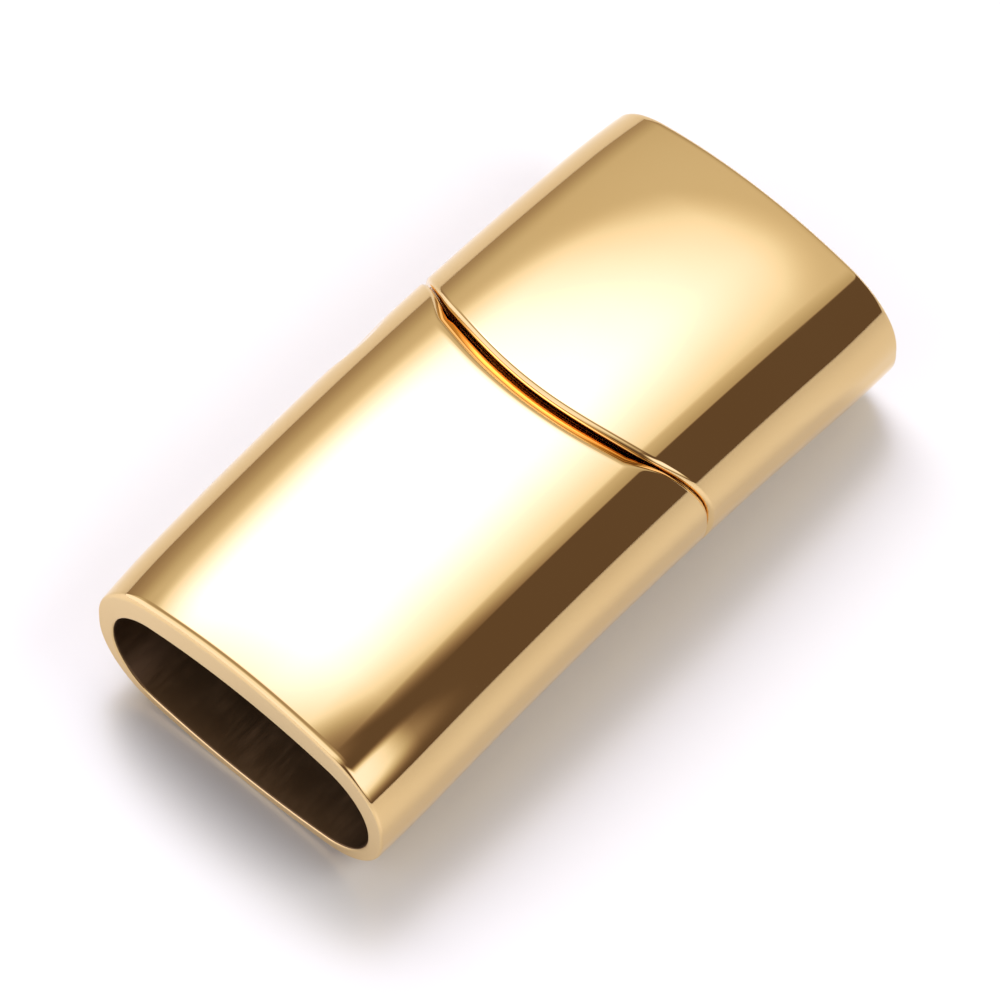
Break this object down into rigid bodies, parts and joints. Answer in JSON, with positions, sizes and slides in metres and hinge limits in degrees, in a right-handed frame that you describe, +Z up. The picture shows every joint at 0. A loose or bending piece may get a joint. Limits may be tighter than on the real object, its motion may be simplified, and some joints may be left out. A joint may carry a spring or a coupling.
{
  "type": "magnetic clasp",
  "caption": "Arched two-part magnetic clasp in polished gold colour, oval in section, with a curved seam and an oval glue-in strap slot in each end.",
  "frame": {"origin": "on the surface that the clasp rests on, under the middle of its length and width", "axes": "+X along the clasp towards the short half, +Y across it towards the side with the fingernail scoop, +Z up through the crowned top"},
  "size_m": [0.0266, 0.0134, 0.0084],
  "materials": {
    "gold_plated_steel": "stainless steel with a mirror-polished gold-coloured plating",
    "magnet_nickel": "bright nickel-plated bar magnet"
  },
  "bodies": {
    "long_body": {"long_half": "gold_plated_steel", "long_half_magnet": "magnet_nickel"},
    "short_body": {"short_half": "gold_plated_steel", "short_half_magnet": "magnet_nickel"}
  },
  "joints": [
    {"name": "pull_apart", "type": "slide", "parent": "long_body", "child": "short_body", "axis": [1, 0, 0], "range_m": [0, 0.008]}
  ]
}
